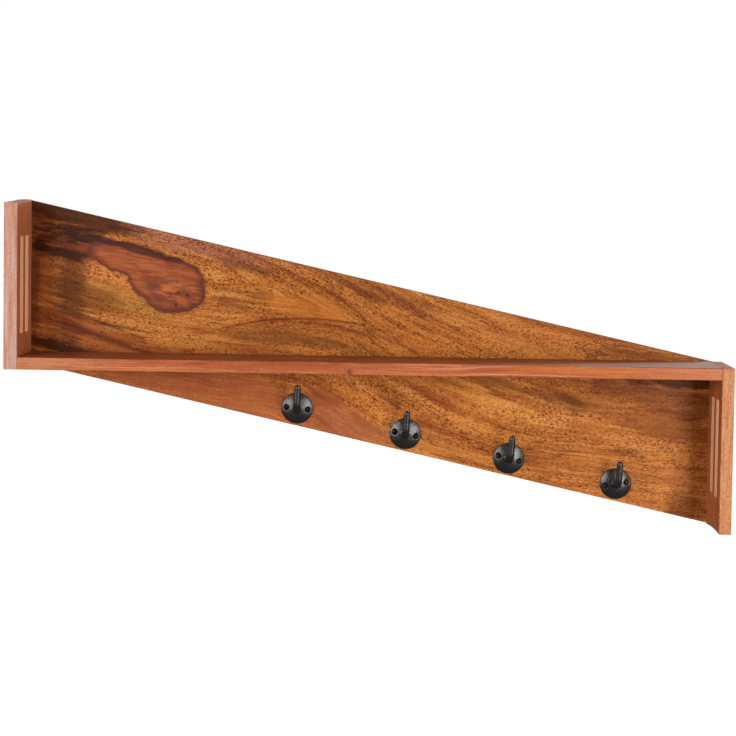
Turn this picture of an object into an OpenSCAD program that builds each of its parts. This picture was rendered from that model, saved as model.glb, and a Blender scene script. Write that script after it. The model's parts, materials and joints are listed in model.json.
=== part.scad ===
// Wall coat rack: a shelf between two uprights that point opposite ways, a slanted back panel
// and four domed iron hooks. Millimetres. X runs along the shelf, Y points into the wall and
// Z is up. The origin lies on the wall plane, at the middle of the rack's width and height.

/* [Boards] */
// Length of the shelf between the inner faces of the uprights
shelf_length = 1138; // [900:1:1500]
// Depth of the shelf and of the uprights, in front of the back panel
shelf_depth = 100; // [96:1:140]
// Thickness of the shelf
shelf_thickness = 20; // [18:0.5:26]
// Height of an upright at its front edge, with the thickness of the shelf
upright_height = 270; // [240:1:340]
// Thickness of the left upright
left_upright_thickness = 22; // [18:0.5:28]
// Thickness of the right upright
right_upright_thickness = 20; // [18:0.5:28]
// Thickness of the back panel
panel_thickness = 20; // [18:0.5:24]
// Radius of the softened long edges of the boards
arris_radius = 2; // [0.5:0.1:4]

/* [Free ends of the uprights] */
// How much further a free end reaches at the back than at the front
end_rise = 4; // [1:0.1:8]
// Depth of the shallow hollow in the free end of the left upright
left_end_hollow = 0.4; // [0.1:0.1:4]
// Depth of the shallow hollow in the free end of the right upright
right_end_hollow = 2.6; // [0.1:0.1:4]

/* [Slots in the uprights] */
// Length of each slot
slot_length = 160; // [80:1:180]
// Width of each slot
slot_width = 20; // [12:0.5:22]
// Width of the bar left standing between the two slots
slot_bar = 15; // [10:0.5:20]
// Radius in the corners of a slot
slot_corner_radius = 2.5; // [0.5:0.1:5]

/* [Hooks] */
// Diameter of the round base of a hook
rosette_diameter = 52; // [46:0.5:56]
// Height of the dome of the base at its middle
rosette_rise = 9; // [7:0.1:12]
// Thickness of the base at its rim
rosette_rim = 2; // [1.5:0.1:4]
// Wall thickness of the dome, which is hollow at the back
rosette_wall = 3.5; // [2.5:0.1:4.5]
// Height of the middle of a base over the lower edge of the panel, measured upright
rosette_height_over_edge = 30; // [29:0.5:50]
// How far the middle line of the arm stands out before it bends up
arm_reach = 19; // [16:0.5:26]
// Radius of the bend at the bottom of the arm
arm_bend_radius = 15; // [12:0.5:22]
// Length of the straight end of the arm
arm_upstand = 30.5; // [20:0.5:38]
// Width of the arm at its root
arm_root_width = 13; // [10:0.5:16]
// Width of the arm close to its tip
arm_tip_width = 10.4; // [8:0.2:13]
// Thickness of the arm at its root
arm_root_thickness = 11; // [8:0.5:14]
// Thickness of the arm close to its tip
arm_tip_thickness = 8.4; // [6:0.2:12]

/* [Hook screws] */
// Distance of each screw from the middle of the base
hook_screw_offset = 18.4; // [17.5:0.1:19.5]
// Diameter of the round head
hook_screw_head_diameter = 9.2; // [7:0.1:10]
// Height of the round head
hook_screw_head_height = 3.2; // [2:0.1:5]
// Diameter of the shank
hook_screw_diameter = 4; // [3:0.1:5]
// Length of the shank under the head
hook_screw_length = 18; // [12:0.5:20]

/* [Panel screws] */
// Diameter of the shank
panel_screw_diameter = 4; // [3:0.1:5]
// Diameter of the countersunk head
panel_screw_head_diameter = 8; // [7:0.1:10]
// Length over all
panel_screw_length = 35; // [32:0.5:38]
// Number of screws along the shelf
shelf_screw_count = 6; // [4:2:8]
// Number of screws in each upright
upright_screw_count = 3; // [2:1:4]

/* [Dowels] */
// Diameter of a dowel
dowel_diameter = 8; // [6:0.5:10]
// Length of a dowel
dowel_length = 30; // [26:0.5:36]
// Depth of its hole in the upright
dowel_hole_in_upright = 12; // [8:0.5:14]

/* [Hanger plates] */
// Distance of each plate from the end of the shelf, along the rack
hanger_inset = 169; // [120:1:250]
// Height of a plate
hanger_height = 60; // [54:0.5:64]
// Width of a plate
hanger_width = 20; // [18:0.5:26]
// Thickness of a plate
hanger_thickness = 2; // [1.5:0.1:3]
// Diameter of the round entry of the keyhole
keyhole_entry_diameter = 9.5; // [8:0.1:11]
// Width of the narrow end of the keyhole
keyhole_slot_width = 5; // [4.4:0.1:6]
// Distance from the middle of the entry to the top of the keyhole
keyhole_slot_length = 14; // [12:0.5:16]
// Depth of the pocket for the head of the wall screw, behind a plate
keyhole_pocket_depth = 8; // [6:0.5:10]
// Distance between the two small screws of a plate
hanger_screw_spacing = 46; // [42:0.5:48]

/* [Hidden] */

// Places of the hooks along the shelf, from the left upright to the right one
hook_place_shares = [0.394, 0.554, 0.707, 0.865];
// Turn of each hook's pair of screws, and lean of its arm to the right, in degrees, as fitted by hand
hook_screw_turns = [6, 11, 15, -11];
hook_arm_leans = [3.5, 3, 4, 2.5];
// Places of the dowels along the depth of the shelf
dowel_place_shares = [0.2, 0.8];
// Height of the first and the last screw in an upright, along its height
upright_screw_share = 0.16;
// Angle that the arm has turned through where its straight end starts
arm_turn = 84;
// Clearance of a screw in the wood that it holds, and round it in the piece that it fastens
thread_clearance = 0.05;
shank_clearance = 0.25;
// Clearance round a screw head in its recess
head_clearance = 0.5;
// Clearance round a dowel, and past its two ends together
dowel_clearance = 0.05;
dowel_end_clearance = 2;
// How far the hanger plates and the screw heads lie below the back of the panel
setback = 0.2;
// Clearance round a hanger plate in its recess
plate_clearance = 0.2;
// Small screws of the hanger plates
hanger_screw_diameter = 3;
hanger_screw_head_diameter = 6;
hanger_screw_length = 14;
// Room round the head of the wall screw in its pocket
pocket_margin = 1.5;
// Length of the point of a screw
point_length = 4;
// Radius and height of the solid pad under each hook screw, and radius of the core under the arm
seat_height = 3.5;
seat_pad_radius = 6.2;
core_radius = 9.5;
// How much wider and thicker the arm is where it leaves the dome, and over what length that fades
root_flare = 5;
flare_length = 11;
// How far a cutting shape reaches past the surface that it cuts
overrun = 1;
// Counts of steps along the free end, along the arm, round the arm and over its tip
end_steps = 12;
root_steps = 5;
bend_steps = 9;
straight_steps = 4;
tip_steps = 5;
ring_sides = 20;
round_faces = 48;

overall_width = left_upright_thickness + shelf_length + right_upright_thickness;
left_outer_x = -overall_width / 2;
left_inner_x = left_outer_x + left_upright_thickness;
right_inner_x = left_inner_x + shelf_length;
panel_front_y = -panel_thickness;
front_y = panel_front_y - shelf_depth;
half_shelf = shelf_thickness / 2;
free_end_z = upright_height - half_shelf;
free_end_back_z = free_end_z + end_rise;
hanger_spacing = shelf_length - 2 * hanger_inset;

// The panel's edges run from the inside corner at the shelf to the inside corner at the free end
panel_drop = upright_height - shelf_thickness + end_rise / 2;
panel_slope = atan(panel_drop / shelf_length);

function lower_edge_z(x) = -half_shelf - (x - left_inner_x) * tan(panel_slope);
function hook_x(i) = left_inner_x + hook_place_shares[i] * shelf_length;
function hook_z(i) = lower_edge_z(hook_x(i)) + rosette_height_over_edge;

// Boards

// A rectangle with its front edge at zero and its two front corners rounded
module softened_front(width, depth, radius) {
    translate([0, radius]) square([width, depth - radius]);
    translate([radius, 0]) square([width - 2 * radius, depth]);
    for (x = [radius, width - radius])
        translate([x, radius]) circle(radius, $fn = round_faces);
}

// A rectangle round the origin with all four corners rounded
module rounded_rectangle(width, height, radius) {
    square([width - 2 * radius, height], center = true);
    square([width, height - 2 * radius], center = true);
    for (x = [-1, 1], y = [-1, 1])
        translate([x * (width / 2 - radius), y * (height / 2 - radius)])
            circle(radius, $fn = round_faces);
}

// An upright strip round the origin with round ends
module round_ended_strip(width, height) {
    end_y = (height - width) / 2;
    square([width, 2 * end_y], center = true);
    for (y = [-end_y, end_y])
        translate([0, y]) circle(d = width, $fn = round_faces);
}

module shelf() {
    color("peru") difference() {
        translate([left_inner_x, front_y, -half_shelf])
            rotate([90, 0, 90])
                linear_extrude(shelf_length)
                    rotate([0, 0, -90])
                        translate([-shelf_thickness, 0])
                            softened_front(shelf_thickness, shelf_depth, arris_radius);
        dowel_places() dowel_hole();
        shelf_screw_places() screw_pilot();
    }
}

// Side view of an upright: depth from the front edge to the right, height up, shelf end at zero
module upright_profile(hollow) {
    function end_height(share) =
        upright_height + end_rise * share - 4 * hollow * share * (1 - share);
    polygon(concat([[0, 0]],
                   [for (i = [0:end_steps]) [shelf_depth * i / end_steps, end_height(i / end_steps)]],
                   [[shelf_depth, 0]]));
}

// An upright that stands up from the shelf, with its inner face towards +X
module plain_upright(thickness, hollow) {
    slot_middle = (slot_width + slot_bar) / 2;
    translate([0, front_y, -half_shelf]) difference() {
        intersection() {
            rotate([90, 0, 90]) linear_extrude(thickness) upright_profile(hollow);
            linear_extrude(upright_height + end_rise + overrun)
                softened_front(thickness, shelf_depth, arris_radius);
        }
        for (side = [-1, 1])
            translate([-overrun, shelf_depth / 2 + side * slot_middle, upright_height / 2])
                rotate([90, 0, 90])
                    linear_extrude(thickness + 2 * overrun)
                        rounded_rectangle(slot_width, slot_length, slot_corner_radius);
    }
}

module left_upright() {
    color("sandybrown") difference() {
        translate([left_outer_x, 0, 0]) plain_upright(left_upright_thickness, left_end_hollow);
        dowel_places() dowel_hole();
        upright_screw_places() screw_pilot();
    }
}

// The right upright hangs down: it is an upright turned half a turn in the plane of the wall
module right_upright() {
    color("sandybrown") difference() {
        rotate([0, 180, 0])
            translate([left_outer_x, 0, 0]) plain_upright(right_upright_thickness, right_end_hollow);
        dowel_places() dowel_hole();
        upright_screw_places() screw_pilot();
    }
}

// The panel is a slanting plank, cut upright at both ends and level with the free ends
module panel_blank() {
    plank_width = (panel_drop + shelf_thickness) * cos(panel_slope);
    plank_length = overall_width / cos(panel_slope) + plank_width;
    middle_x = (left_inner_x + right_inner_x) / 2;
    intersection() {
        translate([middle_x, -panel_thickness, 0])
            rotate([0, panel_slope, 0])
                translate([-plank_length / 2, 0, -plank_width / 2])
                    rotate([90, 0, 90])
                        linear_extrude(plank_length)
                            rotate([0, 0, -90])
                                translate([-plank_width, 0])
                                    softened_front(plank_width, panel_thickness, arris_radius);
        translate([left_outer_x, -panel_thickness, -free_end_back_z])
            cube([overall_width, panel_thickness, 2 * free_end_back_z]);
    }
}

module back_panel() {
    color("chocolate") difference() {
        panel_blank();
        shelf_screw_places() screw_passage();
        upright_screw_places() screw_passage();
        for (i = [0:len(hook_place_shares) - 1]) hook_screw_places(i) hook_screw_hole();
        hanger_places() hanger_recess();
    }
}

// Dowels between the shelf and the uprights. Each place has +X along the dowel, into the shelf

module dowel_places() {
    for (share = dowel_place_shares) {
        translate([left_inner_x, front_y + share * shelf_depth, 0]) children();
        translate([right_inner_x, front_y + share * shelf_depth, 0]) rotate([0, 0, 180]) children();
    }
}

module dowel_hole() {
    hole_length = dowel_length + dowel_end_clearance;
    translate([-dowel_hole_in_upright, 0, 0])
        rotate([0, 90, 0])
            cylinder(hole_length, d = dowel_diameter + 2 * dowel_clearance, $fn = round_faces);
}

module shelf_dowels() {
    chamfer = dowel_diameter / 8;
    color("burlywood") dowel_places()
        translate([dowel_end_clearance / 2 - dowel_hole_in_upright, 0, 0]) rotate([0, 90, 0]) {
            cylinder(chamfer, d1 = dowel_diameter - 2 * chamfer, d2 = dowel_diameter, $fn = round_faces);
            translate([0, 0, chamfer])
                cylinder(dowel_length - 2 * chamfer, d = dowel_diameter, $fn = round_faces);
            translate([0, 0, dowel_length - chamfer])
                cylinder(chamfer, d1 = dowel_diameter, d2 = dowel_diameter - 2 * chamfer, $fn = round_faces);
        }
}

// Screws through the panel. Each place lies on the back of the panel, with +Z out of the wall side
// of the screw's head and the point towards -Z, which is the front of the rack

module back_to_front() {
    rotate([-90, 0, 0]) children();
}

module shelf_screw_places() {
    pitch = shelf_length / shelf_screw_count;
    for (i = [0:shelf_screw_count - 1])
        translate([left_inner_x + pitch * (i + 1 / 2), 0, 0]) back_to_front() children();
}

module upright_screw_places() {
    pitch_share = (1 - 2 * upright_screw_share) / (upright_screw_count - 1);
    for (i = [0:upright_screw_count - 1]) {
        z = (upright_screw_share + i * pitch_share) * upright_height - half_shelf;
        translate([left_inner_x - left_upright_thickness / 2, 0, z]) back_to_front() children();
        translate([right_inner_x + right_upright_thickness / 2, 0, -z]) back_to_front() children();
    }
}

// A countersunk screw with the top of its head at zero
module countersunk_screw(diameter, head_diameter, length) {
    head_height = (head_diameter - diameter) / 2;
    translate([0, 0, -head_height])
        cylinder(head_height, d1 = diameter, d2 = head_diameter, $fn = round_faces);
    translate([0, 0, point_length - length])
        cylinder(length - head_height - point_length, d = diameter, $fn = round_faces);
    translate([0, 0, -length])
        cylinder(point_length, d1 = diameter / 4, d2 = diameter, $fn = round_faces);
}

// What a countersunk screw passes through: the head's cone, its setback and a hole along the shank
module countersunk_hole(diameter, head_diameter, depth) {
    head_height = (head_diameter - diameter) / 2;
    translate([0, 0, -head_height - setback])
        cylinder(head_height, d1 = diameter, d2 = head_diameter, $fn = round_faces);
    translate([0, 0, -setback])
        cylinder(setback + overrun, d = head_diameter, $fn = round_faces);
    translate([0, 0, -depth])
        cylinder(depth - setback, d = diameter + 2 * thread_clearance, $fn = round_faces);
}

module screw_passage() {
    countersunk_hole(panel_screw_diameter, panel_screw_head_diameter, panel_thickness + overrun);
}

module screw_pilot() {
    translate([0, 0, -panel_screw_length - setback])
        cylinder(panel_screw_length, d = panel_screw_diameter + 2 * thread_clearance, $fn = round_faces);
}

module panel_screws() {
    color("silver") {
        shelf_screw_places() panel_screw();
        upright_screw_places() panel_screw();
    }
}

module panel_screw() {
    translate([0, 0, -setback])
        countersunk_screw(panel_screw_diameter, panel_screw_head_diameter, panel_screw_length);
}

// Keyhole hanger plates, let in flush in the back of the panel

module hanger_places(sides = [-1, 1]) {
    for (side = sides)
        translate([side * hanger_spacing / 2, 0, 0]) back_to_front() children();
}

// In a hanger place, up on the rack is -Y
keyhole_entry_y = keyhole_slot_length / 2 - keyhole_entry_diameter / 4;

module keyhole_outline() {
    top_y = keyhole_entry_y - keyhole_slot_length + keyhole_slot_width / 2;
    translate([0, keyhole_entry_y]) circle(d = keyhole_entry_diameter, $fn = round_faces);
    translate([0, top_y]) circle(d = keyhole_slot_width, $fn = round_faces);
    translate([-keyhole_slot_width / 2, top_y]) square([keyhole_slot_width, keyhole_entry_y - top_y]);
}

module hanger_screw_spots() {
    for (side = [-1, 1])
        translate([0, side * hanger_screw_spacing / 2, 0]) children();
}

module hanger_recess() {
    recess_depth = setback + hanger_thickness;
    pocket_width = keyhole_entry_diameter + 2 * pocket_margin;
    translate([0, 0, -recess_depth])
        linear_extrude(recess_depth + overrun)
            round_ended_strip(hanger_width + 2 * plate_clearance, hanger_height + 2 * plate_clearance);
    translate([0, 0, -recess_depth - keyhole_pocket_depth])
        linear_extrude(keyhole_pocket_depth + overrun)
            round_ended_strip(pocket_width, keyhole_slot_length + keyhole_entry_diameter);
    hanger_screw_spots()
        translate([0, 0, -setback - hanger_screw_length])
            cylinder(hanger_screw_length, d = hanger_screw_diameter + 2 * thread_clearance,
                     $fn = round_faces);
}

module hanger_plate(side) {
    color("gainsboro") hanger_places([side])
        difference() {
            translate([0, 0, -setback - hanger_thickness])
                linear_extrude(hanger_thickness) difference() {
                    round_ended_strip(hanger_width, hanger_height);
                    keyhole_outline();
                }
            hanger_screw_spots()
                countersunk_hole(hanger_screw_diameter, hanger_screw_head_diameter,
                                 hanger_thickness + setback + overrun);
        }
}

module left_hanger_plate() {
    hanger_plate(-1);
}

module right_hanger_plate() {
    hanger_plate(1);
}

module hanger_screws() {
    color("silver") hanger_places() hanger_screw_spots()
        translate([0, 0, -setback])
            countersunk_screw(hanger_screw_diameter, hanger_screw_head_diameter, hanger_screw_length);
}

// Hooks. In a hook's own place the base lies on the plane z = 0, +Z stands out from the panel and
// +Y points up the wall

module hook_place(i) {
    translate([hook_x(i), panel_front_y, hook_z(i)]) rotate([90, 0, 0]) children();
}

module hook_screw_spots(i) {
    for (side = [-1, 1])
        rotate([0, 0, -hook_screw_turns[i]])
            translate([side * hook_screw_offset, 0, seat_height]) children();
}

module hook_screw_places(i) {
    hook_place(i) hook_screw_spots(i) children();
}

// A cap of a sphere that stands on the plane z = 0
module cap(radius, height) {
    sphere_radius = (radius * radius + height * height) / (2 * height);
    rotate_extrude($fn = 2 * round_faces) intersection() {
        translate([0, height - sphere_radius]) circle(sphere_radius, $fn = 2 * round_faces);
        square([radius, height]);
    }
}

// The dome of a base stands on its rim. Its wall is even, so the hollow behind it is a smaller dome
dome_height = rosette_rise - rosette_rim;
dome_radius = (pow(rosette_diameter / 2, 2) + dome_height * dome_height) / (2 * dome_height);

module dome_profile(sphere_radius, inner_radius) {
    intersection() {
        translate([0, rosette_rise - dome_radius]) circle(sphere_radius, $fn = 2 * round_faces);
        translate([inner_radius, 0]) square([rosette_diameter / 2 - inner_radius, rosette_rise]);
    }
}

module rosette(i) {
    difference() {
        rotate_extrude($fn = 2 * round_faces) dome_profile(dome_radius, 0);
        difference() {
            rotate_extrude($fn = 2 * round_faces) dome_profile(dome_radius - rosette_wall, core_radius);
            hook_screw_spots(i)
                translate([0, 0, -seat_height - overrun])
                    cylinder(seat_height + 2 * overrun, r = seat_pad_radius, $fn = round_faces);
        }
    }
}

// The arm is one blended shape: oval rings along a middle line that runs out, bends up and ends
// in a round tip. A ring is [distance out, height, direction, width, thickness]
root_start = rosette_rise / 2;
bend_middle = [arm_reach, arm_bend_radius];
bend_length = arm_bend_radius * arm_turn * PI / 180;
tip_length = arm_tip_width / 2;
arm_length = arm_reach - root_start + bend_length + arm_upstand;

function arm_point(s) =
    let (run = arm_reach - root_start, over = s - run - bend_length,
         angle = min(max(s - run, 0) / arm_bend_radius * 180 / PI, arm_turn))
    s < run ? [root_start + s, 0, 0] :
    [bend_middle[0] + arm_bend_radius * sin(angle) + max(over, 0) * cos(arm_turn),
     bend_middle[1] - arm_bend_radius * cos(angle) + max(over, 0) * sin(arm_turn), angle];

function arm_size(s) =
    let (share = s / arm_length, flare = root_flare * pow(max(1 - s / flare_length, 0), 2))
    [arm_root_width + (arm_tip_width - arm_root_width) * share + flare,
     arm_root_thickness + (arm_tip_thickness - arm_root_thickness) * share + flare];

// Where the rings lie: along the root, round the bend, along the end and over the tip
body_steps = concat([for (i = [0:root_steps - 1]) (arm_reach - root_start) * i / root_steps],
                    [for (i = [0:bend_steps]) arm_reach - root_start + bend_length * i / bend_steps],
                    [for (i = [1:straight_steps])
                        arm_length - tip_length - (arm_upstand - tip_length) * (1 - i / straight_steps)]);
tip_angles = [for (i = [1:tip_steps]) 90 * i / (tip_steps + 1 / 3)];

function ring(s, squeeze) =
    let (p = arm_point(s), size = arm_size(s))
    [for (k = [0:ring_sides - 1])
        let (turn = 360 * k / ring_sides, across = size[0] / 2 * squeeze * cos(turn),
             up = size[1] / 2 * squeeze * sin(turn))
        [across, p[1] + up * cos(p[2]), p[0] - up * sin(p[2])]];

arm_rings = concat([for (s = body_steps) ring(s, 1)],
                   [for (a = tip_angles) ring(arm_length - tip_length + tip_length * sin(a), cos(a))]);

module arm() {
    ring_count = len(arm_rings);
    polyhedron(
        points = [for (r = arm_rings) each r],
        faces = concat(
            [[for (k = [0:ring_sides - 1]) k]],
            [for (i = [0:ring_count - 2], k = [0:ring_sides - 1])
                let (a = i * ring_sides, b = a + ring_sides, n = (k + 1) % ring_sides)
                [a + k, b + k, b + n, a + n]],
            [[for (k = [ring_sides - 1:-1:0]) (ring_count - 1) * ring_sides + k]]));
}

module hook(i) {
    color("dimgray") hook_place(i) difference() {
        union() {
            rosette(i);
            rotate([0, 0, -hook_arm_leans[i]]) arm();
        }
        hook_screw_spots(i) {
            cylinder(rosette_rise, d = hook_screw_head_diameter + 2 * head_clearance, $fn = round_faces);
            translate([0, 0, -seat_height - overrun])
                cylinder(seat_height + 2 * overrun, d = hook_screw_diameter + 2 * shank_clearance,
                         $fn = round_faces);
        }
    }
}

module hook_1() {
    hook(0);
}

module hook_2() {
    hook(1);
}

module hook_3() {
    hook(2);
}

module hook_4() {
    hook(3);
}

// A hook screw has the underside of its head at zero and its point towards -Z
module hook_screw_hole() {
    translate([0, 0, -hook_screw_length])
        cylinder(hook_screw_length, d = hook_screw_diameter + 2 * thread_clearance, $fn = round_faces);
}

module hook_screw() {
    cap(hook_screw_head_diameter / 2, hook_screw_head_height);
    translate([0, 0, point_length - hook_screw_length])
        cylinder(hook_screw_length - point_length, d = hook_screw_diameter, $fn = round_faces);
    translate([0, 0, -hook_screw_length])
        cylinder(point_length, d1 = hook_screw_diameter / 4, d2 = hook_screw_diameter,
                 $fn = round_faces);
}

module hook_screws() {
    color("#2a2a2c") for (i = [0:len(hook_place_shares) - 1]) hook_screw_places(i) hook_screw();
}

back_panel();
shelf();
left_upright();
right_upright();
hook_1();
hook_2();
hook_3();
hook_4();
hook_screws();
panel_screws();
shelf_dowels();
left_hanger_plate();
right_hanger_plate();
hanger_screws();
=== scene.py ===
"""Looks of a wall coat rack: lacquered hardwood boards, black cast hooks and their fasteners."""

import json
import math

import bmesh
import bpy
from mathutils import Matrix, Vector, noise


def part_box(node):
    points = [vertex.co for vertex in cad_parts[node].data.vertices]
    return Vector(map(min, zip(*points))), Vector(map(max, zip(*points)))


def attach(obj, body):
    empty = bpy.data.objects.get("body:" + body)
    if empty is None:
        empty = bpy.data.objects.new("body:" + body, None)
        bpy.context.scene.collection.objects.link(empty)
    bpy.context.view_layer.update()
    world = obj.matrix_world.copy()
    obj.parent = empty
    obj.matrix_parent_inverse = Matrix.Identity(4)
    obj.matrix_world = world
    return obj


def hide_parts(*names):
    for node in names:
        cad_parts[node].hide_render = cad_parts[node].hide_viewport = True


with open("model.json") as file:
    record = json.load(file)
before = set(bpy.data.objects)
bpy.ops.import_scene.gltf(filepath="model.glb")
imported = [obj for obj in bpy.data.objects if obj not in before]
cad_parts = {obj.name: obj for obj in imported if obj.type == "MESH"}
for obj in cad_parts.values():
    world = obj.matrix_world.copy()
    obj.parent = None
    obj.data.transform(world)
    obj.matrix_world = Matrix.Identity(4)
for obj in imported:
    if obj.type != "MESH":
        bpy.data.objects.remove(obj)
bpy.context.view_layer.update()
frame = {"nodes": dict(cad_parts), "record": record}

MM = 0.001

# What the frame tells about the boards. FRONT is the y of the front edges of shelf and uprights, in
# whole millimetres
SHELF_LOW, SHELF_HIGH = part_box("shelf")
LEFT_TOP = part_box("left_upright")[1].z
PANEL_SLOPE = math.atan((LEFT_TOP - SHELF_HIGH.z) / (SHELF_HIGH.x - SHELF_LOW.x))
FRONT = round(SHELF_LOW.y / MM)

# The camera, fitted to corners, edges and hook centres in the photograph. The lens is in millimetres,
# its shifts are shares of the picture's width, the place is in metres and the turns are in degrees
LENS = 75.03
LENS_SHIFT_X = -0.0095
LENS_SHIFT_Y = -0.15
SENSOR_WIDTH = 36
CAMERA_PLACE = (0.0319, -2.581, 0.2863)
CAMERA_PITCH = -2.478
CAMERA_YAW = 0.552
CAMERA_ROLL = -0.844

# The lamps face the middle of the rack from this distance in metres. Each has an azimuth in degrees,
# where 0 is straight in front of the rack and 90 is on its right, an elevation in degrees, a width and
# a height in metres, a power in watts, and a colour
LAMP_DISTANCE = 2.6
SOFTBOXES = {
    "left_softbox": (-41, 10, 1.1, 1.5, 35, (1.0, 0.985, 0.97)),
    "right_softbox": (35, 3, 0.9, 1.6, 38, (1.0, 0.985, 0.97)),
    "rear_softbox": (165, 38, 1.2, 0.8, 12, (1.0, 0.985, 0.98)),
}

# How strongly the surroundings shine from behind the rack, from above and from everywhere: as soft
# light on the rack, and as seen in its gloss
FILL_STRENGTHS = (0.14, 0.02, 0.11)
MIRRORED_STRENGTHS = (0.93, 0.05, 0.02)

# The floor, in metres. To the camera it turns from nearly white to white between the two distances
FLOOR_HEIGHT = -1.5
FLOOR_RADIUS = 9.0
NEARLY_WHITE_TO = 2.0
WHITE_FROM = 5.0

# Finish of the meshes. Edges sharper than the angle, in degrees, are rounded, but on a board a loop of
# edges stays sharp where it is no wider than LARGEST_SHARP_LOOP, as round a small hole
BOARD_ROUNDING = 0.8 * MM
SCREW_ROUNDING = 0.12 * MM
PLATE_ROUNDING = 0.25 * MM
SHARP_ANGLE = 30
SHARP_SCREW_ANGLE = 35
LARGEST_SHARP_LOOP = 12 * MM
CASTING_VOXEL = 0.55 * MM

# Corners of a CAD mesh that lie closer than this are one, and faces that meet at less than this many
# degrees are joined
MERGE_DISTANCE = 0.005 * MM
FLAT_ANGLE = 0.4

# Unevenness of a casting: lumps per metre and their height in millimetres
CASTING_LUMPS = ((120, 0.12), (330, 0.05))

# Screws: the directions that their heads face, how far below the top of a head its corners still count
# for its middle, and the turn of the cross recess in degrees, before the first screw and from each to
# the next
FORWARDS = (0, -1, 0)
BACKWARDS = (0, 1, 0)
RIM_DEPTH = 0.3 * MM
RECESS_START = 17
RECESS_TURN = 31


# Camera and light

def add_camera():
    """The camera of the photograph: above the shelf, right of the middle and slightly rolled."""
    data = bpy.data.cameras.new("camera")
    camera = bpy.data.objects.new("camera", data)
    bpy.context.scene.collection.objects.link(camera)
    data.sensor_width = SENSOR_WIDTH
    data.lens = LENS
    data.shift_x = LENS_SHIFT_X
    data.shift_y = LENS_SHIFT_Y
    look_along_y = Matrix.Rotation(math.radians(90), 4, "X")
    camera.matrix_world = (
        Matrix.Translation(CAMERA_PLACE)
        @ Matrix.Rotation(math.radians(CAMERA_YAW), 4, "Z")
        @ Matrix.Rotation(math.radians(CAMERA_PITCH), 4, "X")
        @ Matrix.Rotation(math.radians(CAMERA_ROLL), 4, "Y")
        @ look_along_y
    )
    bpy.context.scene.camera = camera


def add_softbox(name, azimuth, elevation, width, height, power, colour):
    data = bpy.data.lights.new(name, "AREA")
    data.shape = "RECTANGLE"
    data.size = width
    data.size_y = height
    data.energy = power
    data.color = colour
    lamp = bpy.data.objects.new(name, data)
    bpy.context.scene.collection.objects.link(lamp)
    turn = math.radians(azimuth)
    rise = math.radians(elevation)
    away = Vector((
        math.sin(turn) * math.cos(rise), -math.cos(turn) * math.cos(rise), math.sin(rise)))
    lamp.location = away * LAMP_DISTANCE
    lamp.rotation_euler = away.to_track_quat("Z", "Y").to_euler()


# Shader nodes written as sums and products

class Term:
    """A number that varies over a surface, worked out by the nodes of one material."""

    def __init__(self, tree, socket):
        self.tree = tree
        self.socket = socket

    def math(self, operation, *others):
        node = self.tree.nodes.new("ShaderNodeMath")
        node.operation = operation
        for slot, value in zip(node.inputs, (self, *others)):
            join(self.tree, value, slot)
        return Term(self.tree, node.outputs[0])

    def __add__(self, other):
        return self.math("ADD", other)

    def __sub__(self, other):
        return self.math("SUBTRACT", other)

    def __rsub__(self, other):
        return self.math("MULTIPLY", -1.0) + other

    def __mul__(self, other):
        return self.math("MULTIPLY", other)

    def __truediv__(self, other):
        return self.math("DIVIDE", other)

    def power(self, exponent):
        return self.math("POWER", exponent)

    def absolute(self):
        return self.math("ABSOLUTE")

    def largest(self, other):
        return self.math("MAXIMUM", other)

    def smallest(self, other):
        return self.math("MINIMUM", other)

    def step(self, low, high, start=0.0, end=1.0):
        """Goes smoothly from start, where the number is at low, to end, where it is at high."""
        node = self.tree.nodes.new("ShaderNodeMapRange")
        node.interpolation_type = "SMOOTHSTEP"
        join(self.tree, self, node.inputs["Value"])
        limits = {"From Min": low, "From Max": high, "To Min": start, "To Max": end}
        for name, value in limits.items():
            node.inputs[name].default_value = value
        return Term(self.tree, node.outputs["Result"])


def join(tree, value, slot):
    """Feeds a term, the output of a node or a constant into the input of a node."""
    if isinstance(value, Term):
        tree.links.new(value.socket, slot)
    elif hasattr(value, "is_output"):
        tree.links.new(value, slot)
    else:
        slot.default_value = value


def noise_of(tree, axes, detail, roughness, seed):
    """Noise from 0 to 1, mostly near a half. axes holds three terms in millimetres, each with the
    size of the lumps in its direction."""
    scaled = [term * (1 / size) for term, size in axes]
    vector = tree.nodes.new("ShaderNodeCombineXYZ")
    for slot, value in zip(vector.inputs, scaled):
        join(tree, value, slot)
    node = tree.nodes.new("ShaderNodeTexNoise")
    node.noise_dimensions = "4D"
    node.inputs["W"].default_value = seed
    node.inputs["Scale"].default_value = 1.0
    node.inputs["Detail"].default_value = detail
    node.inputs["Roughness"].default_value = roughness
    tree.links.new(vector.outputs[0], node.inputs["Vector"])
    return Term(tree, node.outputs["Fac"])


def even_noise(tree, place, size, detail, roughness, seed):
    """Noise whose lumps are as long as they are wide and deep."""
    return noise_of(tree, [(term, size) for term in place], detail, roughness, seed)


def seen(red, green, blue):
    """The colour that shows as these 8-bit values, as a linear colour."""
    def linear(value):
        share = value / 255
        return share / 12.92 if share <= 0.04045 else ((share + 0.055) / 1.055) ** 2.4
    return (linear(red), linear(green), linear(blue), 1.0)


def blend_colours(tree, amount, first, second):
    """Goes from the first colour, where the amount is 0, to the second, where it is 1."""
    node = tree.nodes.new("ShaderNodeMix")
    node.data_type = "RGBA"
    node.clamp_factor = True
    join(tree, amount, node.inputs[0])
    join(tree, first, node.inputs[6])
    join(tree, second, node.inputs[7])
    return node.outputs[2]


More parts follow.
